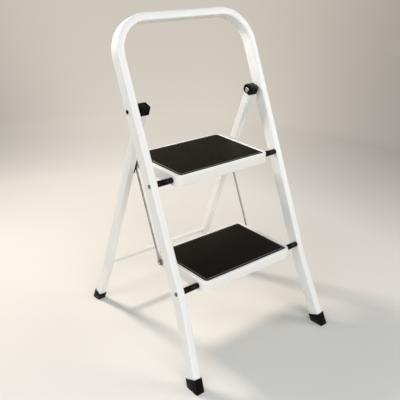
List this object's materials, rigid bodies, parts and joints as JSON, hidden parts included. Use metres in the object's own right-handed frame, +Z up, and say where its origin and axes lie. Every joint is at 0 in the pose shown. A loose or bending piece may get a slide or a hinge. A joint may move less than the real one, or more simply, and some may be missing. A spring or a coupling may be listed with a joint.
{
  "type": "folding step stool",
  "caption": "Folding step stool with a bent-tube handrail frame, hinged rear legs, rubber-topped treads linked by rods, and plastic caps and feet.",
  "frame": {"origin": "on the floor, under the middle of the open stool's bounding box", "axes": "+Z up, +X to the right of someone who faces the treads, +Y to the rear"},
  "size_m": [0.4786, 0.514, 0.8158],
  "materials": {
    "white_powder_coat": "smooth satin white powder coat on steel",
    "black_plastic": "moulded black plastic, fine grain",
    "black_rubber": "warm black rubber with a fine matt texture",
    "zinc_steel": "bright zinc-plated steel"
  },
  "bodies": {
    "front_frame": {"handrail_frame": "white_powder_coat", "front_foot_right": "black_plastic", "front_foot_left": "black_plastic", "upper_step_bar": "zinc_steel", "lower_step_bar": "zinc_steel", "upper_spacer_right": "black_plastic", "upper_spacer_left": "black_plastic", "lower_spacer_right": "black_plastic", "lower_spacer_left": "black_plastic", "hinge_rivet_right": "zinc_steel", "hinge_rivet_left": "zinc_steel", "hinge_plug_right": "black_plastic", "hinge_plug_left": "black_plastic"},
    "rear_frame": {"rear_leg_right": "white_powder_coat", "rear_leg_left": "white_powder_coat", "rear_cross_tube": "white_powder_coat", "rear_cap_right": "black_plastic", "rear_cap_left": "black_plastic", "rear_foot_right": "black_plastic", "rear_foot_left": "black_plastic", "saddle_right": "black_plastic", "saddle_left": "black_plastic", "saddle_rivet_right": "zinc_steel", "saddle_rivet_left": "zinc_steel"},
    "upper_step": {"upper_step_pan": "white_powder_coat", "upper_step_mat": "black_rubber", "upper_step_axle": "zinc_steel", "upper_axle_clips": "zinc_steel"},
    "lower_step": {"lower_step_pan": "white_powder_coat", "lower_step_mat": "black_rubber", "lower_step_axle": "zinc_steel", "lower_axle_clips": "zinc_steel"},
    "right_rod": {"link_rod_right": "zinc_steel"},
    "left_rod": {"link_rod_left": "zinc_steel"}
  },
  "joints": [
    {"name": "rear_frame_fold", "type": "hinge", "parent": "front_frame", "child": "rear_frame", "pos_m": [0, 0.04533, 0.60926], "axis": [-1, 0, 0], "range_deg": [0, 40]},
    {"name": "upper_step_fold", "type": "hinge", "parent": "front_frame", "child": "upper_step", "pos_m": [0, -0.04034, 0.45332], "axis": [1, 0, 0], "range_deg": [0, 58]},
    {"name": "lower_step_fold", "type": "hinge", "parent": "front_frame", "child": "lower_step", "pos_m": [0, -0.14758, 0.21691], "axis": [1, 0, 0], "range_deg": [0, 58]},
    {"name": "right_rod_swing", "type": "hinge", "parent": "upper_step", "child": "right_rod", "pos_m": [0.157, 0.10166, 0.45332], "axis": [1, 0, 0], "range_deg": [-58, 0]},
    {"name": "left_rod_swing", "type": "hinge", "parent": "upper_step", "child": "left_rod", "pos_m": [-0.157, 0.10166, 0.45332], "axis": [1, 0, 0], "range_deg": [-58, 0]}
  ],
  "couplings": [
    {"joint": "upper_step_fold", "follows": "rear_frame_fold", "ratio": 1.45},
    {"joint": "lower_step_fold", "follows": "rear_frame_fold", "ratio": 1.45},
    {"joint": "right_rod_swing", "follows": "rear_frame_fold", "ratio": -1.45},
    {"joint": "left_rod_swing", "follows": "rear_frame_fold", "ratio": -1.45}
  ]
}
